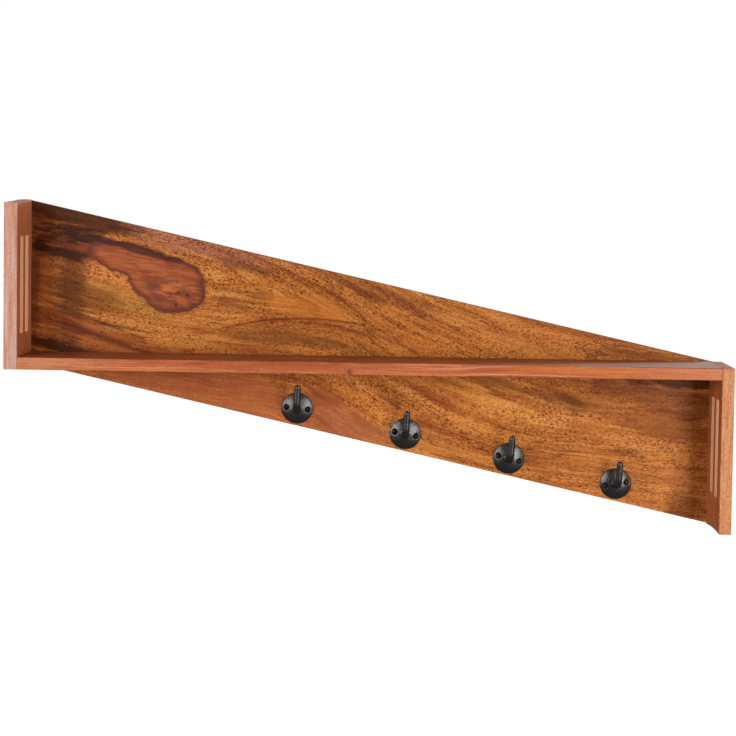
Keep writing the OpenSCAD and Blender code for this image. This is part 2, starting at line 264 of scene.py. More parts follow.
def start_material(name):
    """A material, its nodes, its shader, and the place on the piece as x, y and z in millimetres."""
    material = bpy.data.materials.new(name)
    material.use_nodes = True
    tree = material.node_tree
    shader = tree.nodes["Principled BSDF"]
    place = tree.nodes.new("ShaderNodeSeparateXYZ")
    coordinates = tree.nodes.new("ShaderNodeTexCoord")
    tree.links.new(coordinates.outputs["Object"], place.inputs[0])
    x, y, z = (Term(tree, socket) * (1 / MM) for socket in place.outputs)
    return material, tree, shader, x, y, z


def facing(tree):
    """How far the surface faces along x, y and z, each from -1 to 1."""
    coordinates = tree.nodes.new("ShaderNodeTexCoord")
    normal = tree.nodes.new("ShaderNodeSeparateXYZ")
    tree.links.new(coordinates.outputs["Normal"], normal.inputs[0])
    return [Term(tree, socket) for socket in normal.outputs]


def upward(normal):
    """1 on faces that look up, and 0 on the sides and undersides."""
    return normal[2].step(0.6, 0.9)


def front_edge(y):
    """1 on the front edge of a board, and 0 behind it."""
    return y.step(FRONT + 2.4, FRONT + 0.6)


def add_bump(tree, shader, height, depth):
    """height goes from 0 to 1 over depth, in metres."""
    bump = tree.nodes.new("ShaderNodeBump")
    bump.inputs["Strength"].default_value = 1.0
    bump.inputs["Distance"].default_value = depth
    join(tree, height, bump.inputs["Height"])
    tree.links.new(bump.outputs[0], shader.inputs["Normal"])


# Wood

def flat_place(tree, first, second):
    """Two terms as one position on a flat map."""
    node = tree.nodes.new("ShaderNodeCombineXYZ")
    join(tree, first, node.inputs[0])
    join(tree, second, node.inputs[1])
    return Term(tree, node.outputs[0])


OVAL_REACH = 3.0


def oval(place, centre, radii, turn=0.0):
    """How far a place lies from the middle of a turned oval, where 1 is on its outline. It grows up
    to OVAL_REACH and stays the same beyond that."""
    tree = place.tree
    mapping = tree.nodes.new("ShaderNodeMapping")
    mapping.vector_type = "TEXTURE"
    mapping.inputs["Location"].default_value = (centre[0], centre[1], 0)
    mapping.inputs["Rotation"].default_value = (0, 0, math.radians(turn))
    mapping.inputs["Scale"].default_value = (radii[0] * OVAL_REACH, radii[1] * OVAL_REACH, 1)
    join(tree, place, mapping.inputs["Vector"])
    gradient = tree.nodes.new("ShaderNodeTexGradient")
    gradient.gradient_type = "SPHERICAL"
    tree.links.new(mapping.outputs[0], gradient.inputs[0])
    return Term(tree, gradient.outputs["Fac"]).math("MULTIPLY_ADD", -OVAL_REACH, OVAL_REACH)


class Paint:
    """Colours laid over each other, each by an amount from 0 to 1."""

    def __init__(self, tree, colour):
        self.tree = tree
        self.socket = colour

    def over(self, amount, colour):
        self.socket = blend_colours(self.tree, amount, self.socket, colour)


class Wood:
    """Grain of one board. along runs with the fibres, layers counts across the growth rings and
    through is the third direction, all in millimetres."""

    def __init__(self, tree, along, layers, through, seed):
        self.tree = tree
        self.along = along
        self.layers = layers
        self.through = through
        self.seed = seed

    def grain(self, length, width, detail, roughness, shift=0.0, depth=None):
        axes = ((self.along, length), (self.layers, width), (self.through, depth or width))
        return noise_of(self.tree, axes, detail, roughness, self.seed + shift)


def lay_fibres(paint, wood, tones, contrast, speckle):
    """Fine fibres, short flecks and pores, which all the boards have. Returns the pores."""
    streaks = wood.grain(60, 2.6, 3, 0.6, 2.0)
    paint.over(streaks.step(0.50, 0.68) * (contrast * 0.7), tones["brown"])
    paint.over(streaks.step(0.48, 0.32) * (contrast * 0.45), tones["bright"])
    flecks = wood.grain(5.0, 2.3, 2, 0.55, 3.0)
    paint.over(flecks.step(0.49, 0.66) * speckle, tones["fleck"])
    paint.over(flecks.step(0.47, 0.32) * speckle * 0.4, tones["bright"])
    pores = wood.grain(4.0, 1.6, 1, 0.5, 4.0).step(0.56, 0.68)
    paint.over(pores * speckle * 0.75, tones["fleck"])
    return pores


def finish_wood(tree, shader, wood, colour, pores, wear, gloss, dull):
    """Lacquered surface: pores and fibres as fine relief, with a slightly uneven gloss."""
    fibres = wood.grain(30, 0.7, 2, 0.6, 9.0)
    relief = fibres * 0.35 - pores * 0.9 + 0.9
    add_bump(tree, shader, relief, 0.12 * MM)
    roughness = wear * 0.12 + pores * 0.12 + fibres * 0.06 + 0.24 + dull
    join(tree, colour, shader.inputs["Base Color"])
    join(tree, roughness, shader.inputs["Roughness"])
    shader.inputs["Specular IOR Level"].default_value = gloss
    shader.inputs["Coat Weight"].default_value = 0.02
    shader.inputs["Coat Roughness"].default_value = 0.1


PANEL_TONES = {
    "gold": seen(206, 126, 60),
    "bright": seen(232, 162, 84),
    "brown": seen(148, 76, 32),
    "deep": seen(112, 50, 22),
    "fleck": seen(90, 42, 20),
}

# What stands out on the panel: centre and radii along and across the fibres in millimetres, turn in
# degrees, strength and colour. A patch lies over those before it. Fields lie under the fine fibres, and
# stains, painted shade and painted light over them, and the speckles are fainter where a name says
# smooth
PANEL_FIELDS = (
    ("pale hollow under the knot", (-425, 8), (80, 20), -14, 0.6, seen(188, 130, 64)),
    ("gold field under the knot", (-330, -30), (120, 18), -3, 0.4, seen(208, 138, 62)),
    ("pink band along the upper edge", (-330, 122), (170, 20), 0, 0.54, seen(168, 106, 98)),
    ("orange glow left of the arch", (-234, 82), (44, 12), 0, 0.5, seen(210, 122, 48)),
    ("smooth orange inside the arch", (-125, 66), (92, 22), 4, 0.45, seen(204, 118, 48)),
    ("plum band on the upper edge", (-6, 116), (128, 14), -5, 0.62, seen(136, 74, 48)),
    ("orange right of the arch", (78, 50), (60, 16), -8, 0.45, seen(212, 122, 50)),
    ("gold past the plum band", (140, 106), (56, 14), 0, 0.4, seen(222, 150, 76)),
    ("smooth pink stretch under the shelf", (-250, -112), (270, 60), 0, 0.8, seen(166, 89, 55)),
    ("smooth pink stretch at the second hook", (-16, -112), (92, 34), -14, 0.8, seen(168, 94, 64)),
    ("gold band over the red one", (206, -12), (84, 9), -2, 0.6, seen(232, 158, 78)),
    ("bright flames beside the third hook", (176, -60), (84, 16), -9, 0.35, seen(228, 152, 74)),
    ("gold band under the brown field", (262, -25), (96, 12), -3, 0.55, seen(234, 160, 80)),
    ("gold field near the right end", (455, -24), (96, 16), 3, 0.35, seen(216, 138, 64)),
    ("gold triangle on the right", (250, 84), (110, 26), 4, 0.4, seen(220, 140, 66)),
)

# Stains, with painted shade beside both uprights and under the shelf, and painted light from the left
# slots
PANEL_STAINS_AND_PAINTED_LIGHT_AND_SHADE = (
    ("dark corner over the left end", (-540, 126), (140, 34), 0, 0.86, seen(58, 24, 14)),
    # The next three rows are painted shade and painted shadow of the left upright
    ("brown left end", (-604, 10), (64, 180), 0, 0.55, seen(84, 34, 14)),
    ("dark streak along the left end", (-574, -14), (130, 11), 102.5, 0.5, seen(80, 34, 16)),
    ("dark streak across the left end", (-512, 0), (130, 26), 102.5, 0.62, seen(78, 26, 6)),
    # Painted light that falls through the slots of the left upright
    ("bright streak across the left end", (-551, -20), (96, 10), 102.5, 0.5, seen(190, 104, 48)),
    ("dark tongue at the left end", (-580, 64), (18, 20), 0, 0.85, seen(40, 20, 14)),
    ("red tongue beside the knot", (-536, 75), (56, 9), 2, 0.75, seen(112, 44, 24)),
    ("smear over the tongue", (-516, 91), (96, 15), 2, 0.9, seen(38, 16, 20)),
    ("smear under the tongue", (-530, 60), (56, 13), 7, 0.86, seen(48, 20, 16)),
    ("dark patch on the left", (-492, 0), (84, 27), -8, 0.55, seen(96, 50, 20)),
    ("brown streaks low on the left", (-455, -60), (140, 22), -6, 0.6, seen(108, 44, 20)),
    ("red streaks low on the left", (-380, -92), (130, 12), -2, 0.45, seen(140, 62, 30)),
    ("upper dark line low on the left", (-478, -36), (110, 4), -8, 0.6, seen(82, 36, 16)),
    ("upper bright line low on the left", (-462, -50), (100, 4), -7, 0.5, seen(184, 102, 50)),
    ("lower dark line low on the left", (-440, -64), (120, 4.5), -6, 0.6, seen(84, 36, 16)),
    ("lower bright line low on the left", (-424, -76), (110, 4), -5, 0.5, seen(188, 104, 54)),
    ("dark foot of the left end", (-520, -94), (100, 12), 0, 0.85, seen(56, 26, 14)),
    ("dark flecks under the pink band", (-246, 107), (56, 9), -5, 0.5, seen(104, 58, 36)),
    ("purple streak right of the knot", (-255, 42), (46, 6), -4, 0.5, seen(116, 66, 48)),
    ("dark flecks left of the arch", (-204, 68), (28, 11), 6, 0.4, seen(112, 62, 34)),
    ("dark grain under the arch", (-170, 4), (86, 15), 10, 0.5, seen(110, 66, 30)),
    ("dark grain under the tip of the arch", (-74, 14), (54, 11), 8, 0.5, seen(106, 60, 28)),
    ("flecked foot of the plum band", (-26, 108), (46, 8), -8, 0.5, seen(98, 48, 28)),
    ("brown spot past the arch", (40, 50), (12, 8), 0, 0.45, seen(116, 58, 26)),
    ("red streaks over the pink stretch", (-20, -70), (66, 6), -22, 0.4, seen(150, 64, 38)),
    ("red streak beside the first hook", (-55, -74), (36, 13), -24, 0.5, seen(124, 54, 30)),
    ("grey smear in the pink stretch", (20, -102), (52, 8), -22, 0.45, seen(134, 78, 48)),
    ("dark line over the second hook", (52, -58), (30, 5), -22, 0.5, seen(112, 52, 36)),
    ("red patch beside the second hook", (112, -74), (18, 12), 0, 0.35, seen(136, 62, 30)),
    ("red band past the second hook", (120, -32), (70, 11), -16, 0.6, seen(124, 54, 26)),
    ("olive field under the shelf", (218, 17), (84, 10), 0, 0.45, seen(108, 68, 30)),
    ("brown field under the shelf", (345, 14), (96, 18), -3, 0.5, seen(104, 56, 24)),
    ("dark eye in the brown field", (345, 17), (32, 9), -8, 0.6, seen(80, 40, 18)),
    ("red streaks over the third hook", (317, -106), (46, 9), -4, 0.45, seen(136, 62, 28)),
    # Painted shade under the right part of the shelf
    ("dark upper field near the right end", (480, 56), (150, 30), 0, 0.6, seen(100, 48, 20)),
    ("brown middle near the right end", (510, 14), (100, 36), 0, 0.5, seen(106, 46, 12)),
    ("brown band near the right end", (474, -1), (60, 8), 2, 0.35, seen(124, 64, 30)),
    # Painted shade in the corner under the shelf
    ("deep corner under the shelf", (534, 96), (150, 17), 12, 0.8, seen(48, 20, 6)),
    # The next two rows are painted shadow of the right upright
    ("brown right end", (596, 0), (44, 150), 0, 0.2, seen(108, 50, 22)),
    ("dark band beside the right upright", (566, -4), (120, 18), 102.5, 0.15, seen(96, 42, 18)),
    ("dark clouds low on the right", (574, -114), (40, 28), 4, 0.5, seen(90, 38, 16)),
)

# Where the flecks are stronger: centre and radii along and across the fibres
COARSE_FIELD = ((-290, 116), (230, 24))

# The knot is the union of three ovals, each with its centre and radii along and across the fibres and
# its turn. The ridge over it has the same values, and its pits have a centre and radii
KNOT_BODY = ((-350, 48), (57, 47), 0)
KNOT_NECK = ((-422, 73), (80, 27), -2)
KNOT_WAIST = ((-392, 54), (40, 34), -40)
KNOT_RIDGE = ((-425, 94), (92, 8), -2)
KNOT_PITS = (((-338, 39), (4.5, 2.6)), ((-322, 38), (3.6, 2.2)), ((-337, 18), (2.2, 4)))

# Where the fibres part round the knot, how far along and across they do so, and how strongly
PARTING_CENTRE = (-350, 60)
PARTING_REACH = (150, 52)
PARTING_STRENGTH = 42

# The pointed arch of the growth rings, with a fainter echo beyond its tip and a fainter arch inside it
ARCH_TIP = (-21, 57)
ECHO_TIP = (14, 66)
INNER_TIP = (-186, 84)
ARCH_LENGTH = 170
ARCH_HALF_HEIGHT = 65


def lay_patches(paint, place, edge, patches):
    """Lays patches with ragged edges. Returns how far the smooth ones cover the surface."""
    smooth = 0.0
    for name, centre, radii, turn, strength, colour in patches:
        cover = (oval(place, centre, radii, turn) + edge).step(1.15, 0.45)
        paint.over(cover * strength, colour)
        if "smooth" in name:
            smooth = cover.largest(smooth)
    return smooth


def soft_largest(term, reach):
    """The larger of a term and nothing, with a rounded bend as wide as reach."""
    return (term + (term * term + reach * reach).power(0.5)) * 0.5


def parting(along, across):
    """How far the fibres are pushed aside by the knot."""
    far = (along - PARTING_CENTRE[0]) / PARTING_REACH[0]
    beside = (across - PARTING_CENTRE[1]) / PARTING_REACH[1]
    return beside * ((far * far + beside * beside) * -1.0).math("EXPONENT") * PARTING_STRENGTH


def arch_slope(run):
    """How far the growth rings have bent after a run, at most by the arch's half height."""
    return (run / ARCH_LENGTH).math("TANH") * ARCH_HALF_HEIGHT


def flow(along, across):
    """Distance across the growth rings: arches that open to the left over and under the tip, and
    lines that run down to the right beyond it and level out at the end."""
    bend = (along - 230).largest(0)
    bend = bend * bend * 0.0003
    upper = across - ARCH_TIP[1] + arch_slope(along - ARCH_TIP[0]) - bend
    beyond = along - ARCH_TIP[0] + (ARCH_TIP[1] - across).largest(0) * 0.6
    before = soft_largest(beyond * -1.0, 30)
    after = soft_largest(beyond, 30)
    near = before / 140
    rise = (1.0 - (near * near * -1.0).math("EXPONENT")) * 22 + before * 0.04
    lower = across - ARCH_TIP[1] + rise + arch_slope(after) - bend
    return upper.largest(lower * -1.0)


def arch_line(along, across, tip, spread, sag, width):
    """One pointed growth line that opens to the left of its tip, from 0 beside it to 1 on it."""
    run = (tip[0] - along).largest(0)
    upper = across - tip[1] - run.power(0.5) * spread
    lower = across - tip[1] + run * run * sag
    nearest = upper.absolute().smallest(lower.absolute())
    return nearest.step(width, 0) * (tip[0] + 3 - along).step(0, 6) * (run - 250).step(60, -60)


def lay_panel_grain(paint, wood, tones):
    """Broad bands, clouds and long dark lines. Returns the broad bands and the lines."""
    broad = wood.grain(260, 36, 2, 0.5, 0.0, 60)
    paint.over(broad.step(0.46, 0.62) * 0.5, tones["brown"])
    bands = wood.grain(230, 9, 3, 0.55, 1.0, 40)
    paint.over(bands.step(0.50, 0.66) * 0.7, tones["brown"])
    paint.over(bands.step(0.46, 0.32) * 0.55, tones["bright"])
    clouds = wood.grain(40, 13, 2, 0.5, 5.0, 40)
    paint.over(clouds.step(0.54, 0.70) * 0.5, tones["deep"])
    lines = (wood.grain(700, 17, 1, 0.5, 6.0, 60) - 0.5).absolute().step(0.022, 0.0)
    lines = lines * clouds.step(0.36, 0.56)
    paint.over(lines * 0.65, tones["deep"])
    return broad, lines


def knot_heart(tree, place, x, y, z):
    """The red wood of the knot, with a dull lobe, a few brighter and darker spots, and small pits."""
    wood = Wood(tree, x - z * 0.1, z + x * 0.1, y, 11.0)
    streaks = wood.grain(36, 2.8, 3, 0.6)
    clouds = wood.grain(34, 12, 3, 0.55, 1.0)
    heart = Paint(tree, seen(172, 94, 56))
    heart.over(clouds.step(0.50, 0.64) * 0.55, seen(138, 56, 30))
    heart.over(clouds.step(0.46, 0.36) * 0.5, seen(198, 120, 68))
    heart.over(streaks.step(0.45, 0.62) * 0.55, seen(128, 58, 34))
    heart.over(streaks.step(0.46, 0.30) * 0.5, seen(200, 118, 74))
    lobe = oval(place, (-338, 34), (62, 34)).step(1.1, 0.6)
    heart.over(lobe * clouds.step(0.35, 0.55) * 0.7, seen(116, 60, 48))
    shade = oval(place, (-376, 34), (24, 12), -40).step(1.3, 0.3)
    heart.over(shade * 0.6, seen(112, 66, 56))
    ember = oval(place, (-352, 36), (30, 9), 6).step(1.2, 0.3)
    heart.over(ember * clouds.step(0.56, 0.40), seen(204, 110, 60))
    glow = oval(place, (-328, 26), (12, 7)).step(1.3, 0.4)
    heart.over(glow * 0.6, seen(186, 94, 52))
    for centre, radii in KNOT_PITS:
        pit = oval(place, centre, radii) + (streaks - 0.5) * 2.4
        heart.over(pit.step(1.4, 0.4) * 0.75, seen(58, 28, 22))
    return heart


def panel_wood():
    """Slanted back panel: grain that flows round a large knot and through a pointed arch."""
    material, tree, shader, x, y, z = start_material("panel_wood")
    cosine = math.cos(PANEL_SLOPE)
    sine = math.sin(PANEL_SLOPE)
    along = x * cosine - z * sine
    across = x * sine + z * cosine
    place = flat_place(tree, along, across)
    wander = noise_of(tree, ((along, 260), (across, 90), (y, 60)), 2, 0.5, 1.0) - 0.5
    ripple = noise_of(tree, ((along, 60), (across, 24), (y, 20)), 2, 0.5, 2.0) - 0.5
    layers = flow(along, across - parting(along, across)) + wander * 30 + ripple * 5
    wood = Wood(tree, along, layers, y * 0.7 + across * 0.3, 3.0)
    tones = PANEL_TONES
    paint = Paint(tree, tones["gold"])
    broad, lines = lay_panel_grain(paint, wood, tones)

    edge = (wood.grain(46, 8, 3, 0.6, 12.0, 30) - 0.5) * 1.5
    smooth = lay_patches(paint, place, edge, PANEL_FIELDS)
    dense = wood.grain(110, 24, 2, 0.5, 7.0, 60).step(0.38, 0.60) * 0.4 + 0.48
    coarse = oval(place, *COARSE_FIELD).step(1.2, 0.5)
    speckle = (dense + coarse * 0.3) * (1.0 - smooth * 0.7)
    pores = lay_fibres(paint, wood, tones, 0.5, speckle)
    # Stains, painted shade, painted shadow and painted light
    lay_patches(paint, place, edge, PANEL_STAINS_AND_PAINTED_LIGHT_AND_SHADE)

    shaken_along = along + ripple * 14
    shaken_across = across + ripple * 7
    arch = arch_line(shaken_along, shaken_across, ARCH_TIP, 4.9, 0.0011, 4.0)
    echo = arch_line(shaken_along, shaken_across, ECHO_TIP, 5.6, 1.0, 3.4)
    inner = arch_line(shaken_along, shaken_across, INNER_TIP, 4.0, 0.002, 3.4)
    arches = arch.largest(echo * 0.6).largest(inner * 0.55) * (edge.step(-0.4, 0.1) * 0.5 + 0.5)
    paint.over(arches * 0.75, seen(108, 48, 20))

    # The knot: a smooth red patch with a dark rim, under a dark ridge
    wobble = noise_of(tree, ((along, 22), (across, 14), (y, 20)), 3, 0.6, 8.0) - 0.5
    knot_place = flat_place(tree, along + ripple * 20, across + wobble * 16)
    body = oval(knot_place, *KNOT_BODY)
    neck = oval(knot_place, *KNOT_NECK)
    waist = oval(knot_place, *KNOT_WAIST)
    knot = body.smallest(neck).smallest(waist)
    heart = knot_heart(tree, place, x, y, z)
    heart.over(knot.step(0.66, 0.98) * 0.85, seen(92, 46, 40))
    paint.over(knot.step(1.12, 1.0) * 0.4, seen(112, 60, 40))
    paint.over(knot.step(1.03, 0.97) * 0.95, heart.socket)
    ridge = oval(place, *KNOT_RIDGE) + (wobble + edge * 0.3) * 1.2
    paint.over(ridge.step(1.2, 0.5) * 0.8, seen(66, 36, 34))

    dull = upward(facing(tree)) * 0.3
    finish_wood(tree, shader, wood, paint.socket, pores * 0.5 + lines * 0.2, broad, 0.1, dull)
    return material


def board_wood(name, fibres_along, pith, tones, contrast, speckle, seed, faces, gloss):
    """A straight board cut beside the pith: rings show as long lines and on the ends as arcs.
    faces paints what is particular to some faces, and tells where they are duller and plainer."""
    material, tree, shader, x, y, z = start_material(name)
    along = {"x": x, "z": z}[fibres_along]
    through = {"x": z, "z": x}[fibres_along]
    wander = noise_of(tree, ((along, 180), (y, 70), (through, 50)), 2, 0.5, seed) - 0.5
    ripple = noise_of(tree, ((along, 45), (y, 18), (through, 18)), 2, 0.5, seed + 1) - 0.5
    behind = y - pith[0]
    beside = through - pith[1]
    layers = (behind * behind + beside * beside).power(0.5) + wander * 22 + ripple * 4
    wood = Wood(tree, along, layers, (behind + beside) * 0.7, seed + 2)

    paint = Paint(tree, tones["gold"])
    broad = wood.grain(260, 20, 2, 0.5, 0.0, 60)
    paint.over(broad.step(0.44, 0.62) * contrast, tones["brown"])
    bands = wood.grain(300, 6, 3, 0.55, 1.0, 40)
    paint.over(bands.step(0.50, 0.68) * (contrast * 0.8), tones["brown"])
    paint.over(bands.step(0.46, 0.32) * (contrast * 0.8), tones["bright"])
    lines = (wood.grain(600, 12, 1, 0.5, 6.0, 60) - 0.5).absolute().step(0.02, 0.0)
    paint.over(lines * (contrast * 0.8), tones["deep"])
    dull, plain = faces(tree, paint, x, y, z)
    share = 1.0 - plain * 0.8
    pores = lay_fibres(paint, wood, tones, share * contrast, share * speckle)
    finish_wood(tree, shader, wood, paint.socket, pores * 0.5, broad, gloss, dull)
    return material


SHELF_TONES = {
    "gold": seen(202, 114, 66),
    "bright": seen(226, 150, 104),
    "brown": seen(170, 82, 44),
    "deep": seen(140, 58, 32),
    "fleck": seen(124, 54, 32),
}

UPRIGHT_TONES = {
    "gold": seen(204, 120, 72),
    "bright": seen(226, 152, 100),
    "brown": seen(160, 82, 46),
    "deep": seen(126, 58, 34),
    "fleck": seen(126, 60, 36),
}

# Patches on the front edge of the shelf: centre and radii in x and z, strength and colour. The last
# two are a small knot
SHELF_FRONT = (
    ((-520, 6), (110, 14), 0.5, seen(196, 134, 92)),
    ((-130, 0), (190, 16), 0.65, seen(164, 78, 44)),
    ((60, -2), (120, 10), 0.4, seen(206, 120, 84)),
    ((330, 4), (120, 9), 0.6, seen(216, 122, 50)),
    ((440, -4), (110, 9), 0.5, seen(204, 112, 52)),
    ((-30, -5.5), (8, 10), 0.5, seen(158, 84, 58)),
    ((-30, -5.5), (3, 5), 0.75, seen(96, 50, 44)),
)

# On the uprights, in millimetres: the strip beside the panel fades in between these places in y. The
# linings are painted this far past the slots lengthwise. The front one's share of paint holds this far
# behind its slot, and turns into the rear one's over as much again
PANEL_STRIP = (-46, -38)
LENGTHWISE_REACH = 3
REAR_REACH = 4

# Painted shade for the sides of the uprights
SIDE_SHADE_COLOUR = seen(142, 70, 38)
PANEL_STRIP_COLOUR = seen(214, 138, 96)
# Pale wood with painted light, for the slot linings
PALE_AND_LIT_LINING_COLOUR = seen(252, 200, 158)


def shelf_faces(tree, paint, x, y, z):
    """The upper side is painted browner than the front edge, as painted shade. The front edge has one
    small knot.
    """
    upper = upward(facing(tree))
    # Painted shade: the upper side is painted a darker brown
    paint.over(upper * 0.6, seen(122, 56, 28))
    front = front_edge(y)
    place = flat_place(tree, x, z)
    for centre, radii, strength, colour in SHELF_FRONT:
        paint.over(front * oval(place, centre, radii).step(1.3, 0.4) * strength, colour)
    return upper * 0.12, 0.0


def upright_faces(slot_name, front_colour, side_shade_share, strip_share, front_pale_and_lit_share, rear_pale_and_lit_share):
    """The front edge of an upright is paler than its sides, which carry painted shade, and the lining
    of its two slots is paler wood with painted light on it. The shares tell how much painted shade is
    laid over the sides, how much colour over the strip beside the panel, and how much pale colour with
    painted light over both linings."""
    openings = frame["record"]["physics"]["openings"]
    low, high = next(opening["box_m"] for opening in openings if opening["name"] == slot_name)
    slot_low = low[2] / MM - LENGTHWISE_REACH
    slot_high = high[2] / MM + LENGTHWISE_REACH
    behind_slot = high[1] / MM + REAR_REACH

    def paint_faces(tree, paint, x, y, z):
        normal = facing(tree)
        sideways = normal[0].absolute()
        side = sideways.step(0.7, 0.9)
        front = front_edge(y)
        # Painted shade: the sides of the upright are painted darker
        paint.over(side * side_shade_share, SIDE_SHADE_COLOUR)
        paint.over(side * y.step(*PANEL_STRIP) * strip_share, PANEL_STRIP_COLOUR)
        streaks = noise_of(tree, ((x, 7), (y, 7), (z, 70)), 3, 0.55, 50.0)
        paint.over(front * streaks.step(0.38, 0.62, 0.4, 1.0), front_colour)
        in_height = z.step(slot_low - 1, slot_low) * z.step(slot_high + 1, slot_high)
        lining = sideways.step(0.7, 0.5) * in_height * (1.0 - front)
        # Slot linings: pale wood with painted light, in a different share in the front slot than in the
        # rear one
        share = y.step(behind_slot, behind_slot + REAR_REACH, front_pale_and_lit_share, rear_pale_and_lit_share)
        paint.over(lining * share, PALE_AND_LIT_LINING_COLOUR)
        return upward(normal) * 0.2, lining
    return paint_faces


def dowel_wood():
    """Raw, straight wood with fine rings."""
    material, tree, shader, x, y, z = start_material("dowel_wood")
    wood = Wood(tree, x, y, z, 5.0)
    rings = wood.grain(200, 1.5, 3, 0.5)
    colour = blend_colours(tree, rings.step(0.35, 0.65), seen(222, 186, 140), seen(196, 154, 106))
    join(tree, colour, shader.inputs["Base Color"])
    join(tree, rings * 0.1 + 0.6, shader.inputs["Roughness"])
    add_bump(tree, shader, rings, 0.05 * MM)
    return material


# Metals

def black_iron():
    """Black lacquer over a lumpy cast surface, slightly worn in patches."""
    material, tree, shader, x, y, z = start_material("black_iron")
    lumps = even_noise(tree, (x, y, z), 4.5, 3, 0.55, 1.0)
    sand = even_noise(tree, (x, y, z), 0.9, 2, 0.6, 2.0)
    wear = even_noise(tree, (x, y, z), 7.0, 4, 0.65, 3.0).step(0.58, 0.74)
    colour = blend_colours(tree, lumps, seen(10, 8, 8), seen(24, 19, 20))
    colour = blend_colours(tree, wear * 0.4, colour, seen(48, 43, 44))
    join(tree, colour, shader.inputs["Base Color"])
    join(tree, lumps * 0.12 + sand * 0.06 + 0.27, shader.inputs["Roughness"])
    shader.inputs["IOR"].default_value = 1.66
    shader.inputs["Specular IOR Level"].default_value = 0.8
    add_bump(tree, shader, lumps * 0.8 + sand * 0.2, 0.5 * MM)
    return material


def black_steel():
    """Black screws with a little dust in the finish."""
    material, tree, shader, x, y, z = start_material("black_steel")
    dust = even_noise(tree, (x, y, z), 1.2, 3, 0.6, 4.0)
    colour = blend_colours(tree, dust, seen(18, 17, 18), seen(36, 34, 35))
    join(tree, colour, shader.inputs["Base Color"])
    join(tree, dust * 0.2 + 0.28, shader.inputs["Roughness"])
    shader.inputs["Specular IOR Level"].default_value = 0.6
    add_bump(tree, shader, dust, 0.06 * MM)
    return material


def zinc_steel():
    """Zinc plating with a faint spangle and fine brushing along z."""
    material, tree, shader, x, y, z = start_material("zinc_steel")
    spangle = even_noise(tree, (x, y, z), 3.0, 3, 0.6, 5.0)
    brushed = noise_of(tree, ((x, 0.3), (y, 4.0), (z, 14.0)), 2, 0.6, 6.0)
    colour = blend_colours(tree, spangle, seen(176, 178, 180), seen(206, 206, 204))
    join(tree, colour, shader.inputs["Base Color"])
    join(tree, spangle * 0.14 + brushed * 0.1 + 0.24, shader.inputs["Roughness"])
    shader.inputs["Metallic"].default_value = 1.0
    add_bump(tree, shader, brushed * 0.6 + spangle * 0.4, 0.03 * MM)
    return material


# Meshes

def merged_copy(node):
    """The node's mesh as a bmesh with shared corners and flat faces joined."""
    bm = bmesh.new()
    bm.from_mesh(frame["nodes"][node].data)
    bmesh.ops.remove_doubles(bm, verts=bm.verts, dist=MERGE_DISTANCE)
    bmesh.ops.dissolve_limit(bm, angle_limit=math.radians(FLAT_ANGLE), verts=bm.verts, edges=bm.edges)
    for edge in bm.edges:
        edge.tag = False
    return bm


def add_piece(name, bm, material):
    """Makes an object of the bmesh, smooth but for its tagged edges, and frees the bmesh."""
    mesh = bpy.data.meshes.new(name)
    for face in bm.faces:
        face.smooth = True
    for edge in bm.edges:
        edge.smooth = not edge.tag
    bm.to_mesh(mesh)
    bm.free()
    if "custom_normal" in mesh.attributes:
        mesh.attributes.remove(mesh.attributes["custom_normal"])
    mesh.materials.clear()
    mesh.materials.append(material)
    piece = bpy.data.objects.new(name, mesh)
    bpy.context.scene.collection.objects.link(piece)
    return piece


def soften_edges(piece, width, segments=3, angle=SHARP_ANGLE):
    modifier = piece.modifiers.new("softened_edges", "BEVEL")
    modifier.width = width
    modifier.segments = segments
    modifier.limit_method = "ANGLE"
    modifier.angle_limit = math.radians(angle)
    modifier.use_clamp_overlap = False
    modifier.harden_normals = True
    return modifier


def apply_modifiers(piece):
    evaluated = piece.evaluated_get(bpy.context.evaluated_depsgraph_get())
    mesh = bpy.data.meshes.new_from_object(evaluated)
    piece.modifiers.clear()
    piece.data = mesh


def dress(piece, node):
    """The piece stands in for the node and stays with the body of the rack."""
    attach(piece, "root")
    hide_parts(node)


def weigh_long_edges(bm):
    """Marks the sharp edges for softening, and tags loops round small holes to stay as they are."""
    weights = bm.edges.layers.float.new("bevel_weight_edge")
    sharp_from = math.radians(SHARP_ANGLE)
    left = {e for e in bm.edges if len(e.link_faces) == 2 and e.calc_face_angle() > sharp_from}
    while left:
        seed = left.pop()
        group = [seed]
        ends = [seed]
        while ends:
            for vertex in ends.pop().verts:
                for link in vertex.link_edges:
                    if link in left:
                        left.discard(link)
                        group.append(link)
                        ends.append(link)
        points = [v.co for e in group for v in e.verts]
        reach = max(max(p[i] for p in points) - min(p[i] for p in points) for i in range(3))
        for link in group:
            link[weights] = 1.0 if reach > LARGEST_SHARP_LOOP else 0.0
            link.tag = reach <= LARGEST_SHARP_LOOP


def add_board(node, material):
    """A board with rounded edges, kept inside the box of its node."""
    bm = merged_copy(node)
    weigh_long_edges(bm)
    piece = add_piece("lacquered_" + node, bm, material)
    rounding = soften_edges(piece, BOARD_ROUNDING)
    rounding.limit_method = "WEIGHT"
    apply_modifiers(piece)
    low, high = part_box(node)
    for vertex in piece.data.vertices:
        vertex.co = [min(max(value, a), b) for value, a, b in zip(vertex.co, low, high)]
    dress(piece, node)


